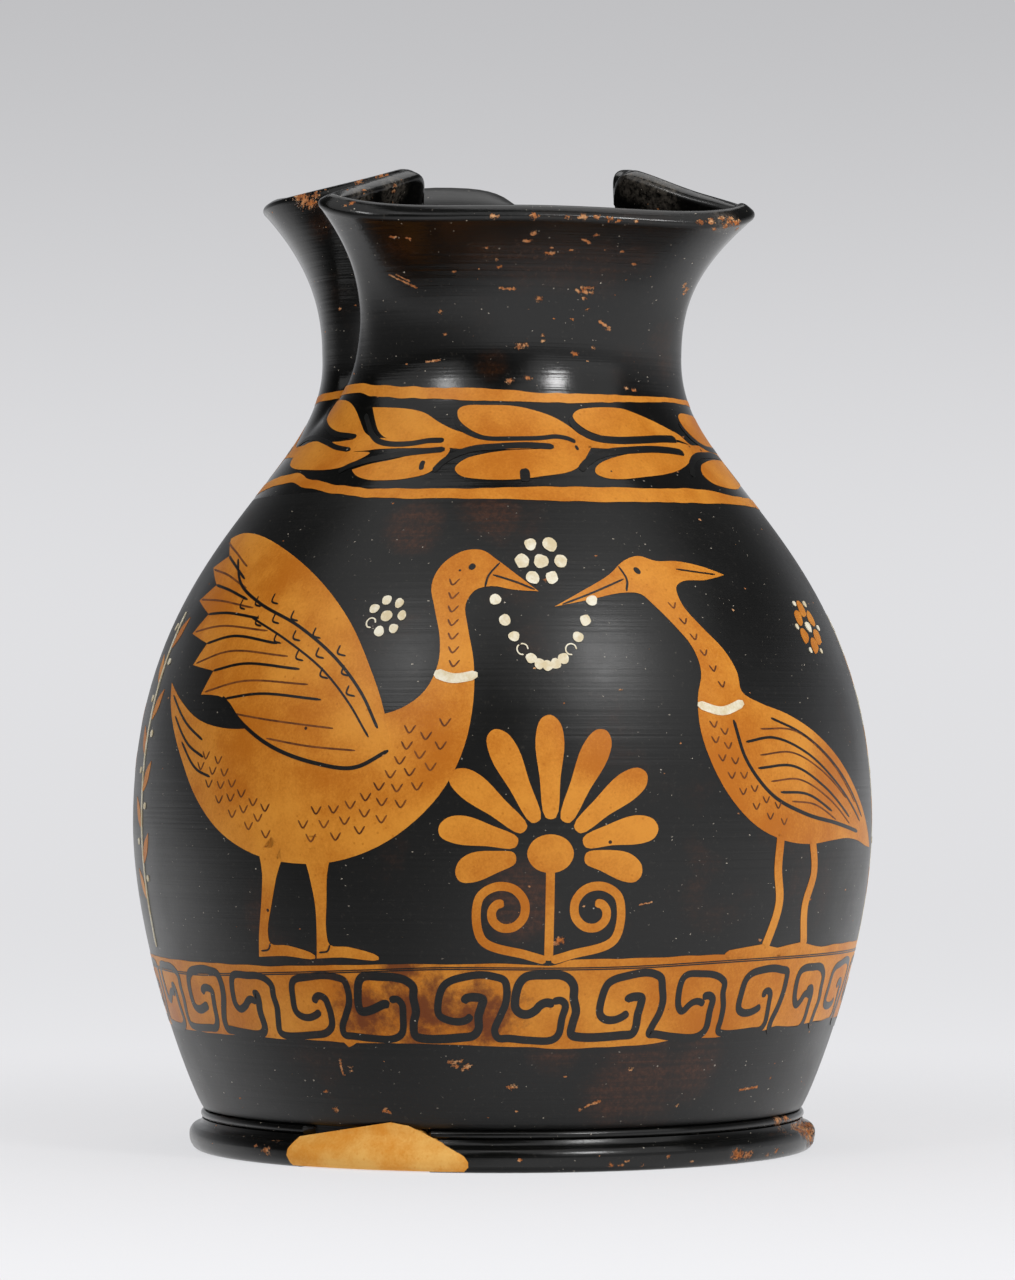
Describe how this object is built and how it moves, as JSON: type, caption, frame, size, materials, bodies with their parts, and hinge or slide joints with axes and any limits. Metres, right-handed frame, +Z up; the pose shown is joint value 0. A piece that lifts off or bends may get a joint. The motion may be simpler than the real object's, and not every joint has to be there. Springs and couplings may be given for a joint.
{
  "type": "oinochoe wine jug",
  "caption": "Wheel-thrown wine jug with an ovoid body, short flaring neck, trefoil mouth, strap handle and low moulded ring foot, in black-glazed clay with painted bands.",
  "frame": {"origin": "centre of the foot's resting plane, on the axis of the wheel", "axes": "+Z up along the axis; the front lobe of the mouth, which pours, points to -Y and the handle to +Y; +X to the right seen from the front"},
  "size_m": [0.1788, 0.1788, 0.2412],
  "materials": {
    "glazed_clay": "black satin slip, worn and scratched",
    "reserved_clay": "orange fired clay, burnished",
    "pale_slip": "added cream slip, matt",
    "tan_fill": "smooth painted plaster fill"
  },
  "bodies": {
    "root": {"body": "glazed_clay", "neck_and_mouth": "glazed_clay", "foot": "glazed_clay", "join_fillet": "glazed_clay", "handle": "glazed_clay", "foot_fill": "tan_fill"}
  },
  "joints": []
}
